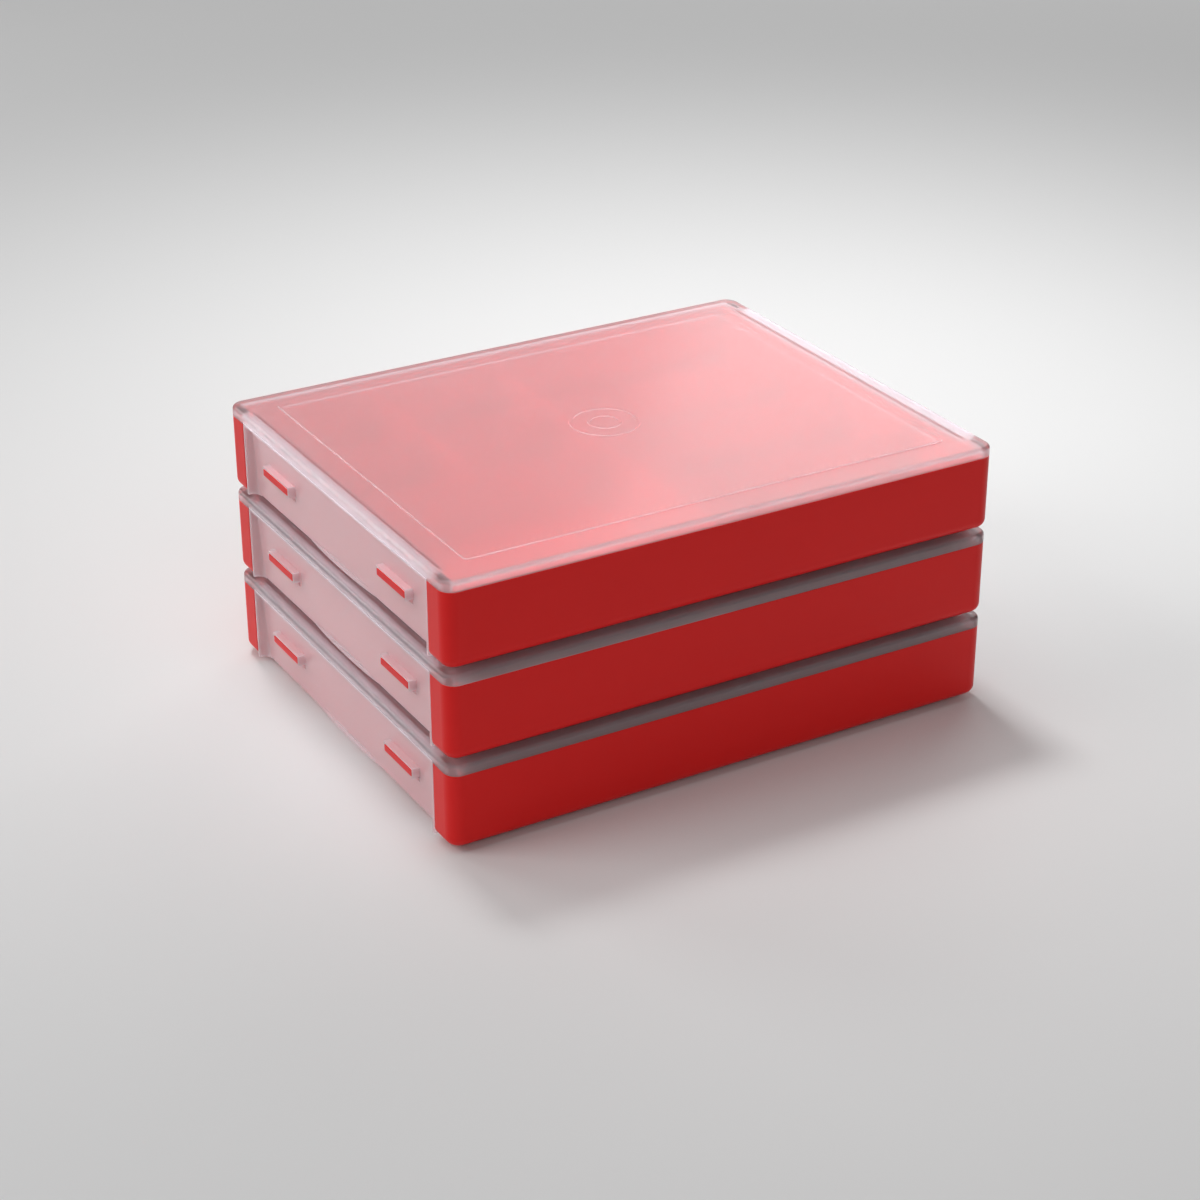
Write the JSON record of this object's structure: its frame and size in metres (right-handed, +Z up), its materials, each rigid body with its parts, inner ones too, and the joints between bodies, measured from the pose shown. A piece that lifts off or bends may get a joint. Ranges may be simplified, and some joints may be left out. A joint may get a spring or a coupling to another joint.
{
  "type": "stacking compartment tray",
  "caption": "Stack of shallow compartment trays with clip-on frosted lids; end flaps on living hinges latch over lugs, and each tray's foot ring nests around the lid below.",
  "frame": {"origin": "centre of the bottom tray's foot ring, on the surface that the stack stands on", "axes": "+X along the length, towards one end flap; +Y towards the back; +Z up"},
  "size_m": [0.195, 0.155, 0.0914],
  "materials": {
    "tray": "moulded red plastic, satin",
    "lid": "translucent natural plastic, satin"
  },
  "bodies": {
    "tray_1": {"tray_1": "tray", "partition_1": "tray"},
    "lid_1": {"lid_1": "lid", "hinge_left_1": "lid", "hinge_right_1": "lid"},
    "flap_left_1": {"flap_left_1": "lid"},
    "flap_right_1": {"flap_right_1": "lid"},
    "tray_2": {"tray_2": "tray", "partition_2": "tray"},
    "lid_2": {"lid_2": "lid", "hinge_left_2": "lid", "hinge_right_2": "lid"},
    "flap_left_2": {"flap_left_2": "lid"},
    "flap_right_2": {"flap_right_2": "lid"},
    "tray_3": {"tray_3": "tray", "partition_3": "tray"},
    "lid_3": {"lid_3": "lid", "hinge_left_3": "lid", "hinge_right_3": "lid"},
    "flap_left_3": {"flap_left_3": "lid"},
    "flap_right_3": {"flap_right_3": "lid"}
  },
  "joints": [
    {"name": "lid_lift_1", "type": "slide", "parent": "tray_1", "child": "lid_1", "axis": [0, 0, 1], "range_m": [0, 0.013]},
    {"name": "flap_right_swing_1", "type": "hinge", "parent": "lid_1", "child": "flap_right_1", "pos_m": [0.0975, 0, 0.0271], "axis": [0, -1, 0], "range_deg": [0, 110]},
    {"name": "flap_left_swing_1", "type": "hinge", "parent": "lid_1", "child": "flap_left_1", "pos_m": [-0.0975, 0, 0.0271], "axis": [0, 1, 0], "range_deg": [0, 110]},
    {"name": "unstack_2", "type": "slide", "parent": "lid_1", "child": "tray_2", "axis": [0, 0, 1], "range_m": [0, 0.04]},
    {"name": "lid_lift_2", "type": "slide", "parent": "tray_2", "child": "lid_2", "axis": [0, 0, 1], "range_m": [0, 0.013]},
    {"name": "flap_right_swing_2", "type": "hinge", "parent": "lid_2", "child": "flap_right_2", "pos_m": [0.0975, 0, 0.0573], "axis": [0, -1, 0], "range_deg": [0, 110]},
    {"name": "flap_left_swing_2", "type": "hinge", "parent": "lid_2", "child": "flap_left_2", "pos_m": [-0.0975, 0, 0.0573], "axis": [0, 1, 0], "range_deg": [0, 110]},
    {"name": "unstack_3", "type": "slide", "parent": "lid_2", "child": "tray_3", "axis": [0, 0, 1], "range_m": [0, 0.04]},
    {"name": "lid_lift_3", "type": "slide", "parent": "tray_3", "child": "lid_3", "axis": [0, 0, 1], "range_m": [0, 0.013]},
    {"name": "flap_right_swing_3", "type": "hinge", "parent": "lid_3", "child": "flap_right_3", "pos_m": [0.0975, 0, 0.0875], "axis": [0, -1, 0], "range_deg": [0, 110]},
    {"name": "flap_left_swing_3", "type": "hinge", "parent": "lid_3", "child": "flap_left_3", "pos_m": [-0.0975, 0, 0.0875], "axis": [0, 1, 0], "range_deg": [0, 110]}
  ],
  "couplings": [
    {"joint": "flap_right_swing_1", "follows": "lid_lift_1", "rad_per_m": 147.67},
    {"joint": "flap_left_swing_1", "follows": "lid_lift_1", "rad_per_m": 147.67},
    {"joint": "flap_right_swing_2", "follows": "lid_lift_2", "rad_per_m": 147.67},
    {"joint": "flap_left_swing_2", "follows": "lid_lift_2", "rad_per_m": 147.67},
    {"joint": "flap_right_swing_3", "follows": "lid_lift_3", "rad_per_m": 147.67},
    {"joint": "flap_left_swing_3", "follows": "lid_lift_3", "rad_per_m": 147.67}
  ]
}
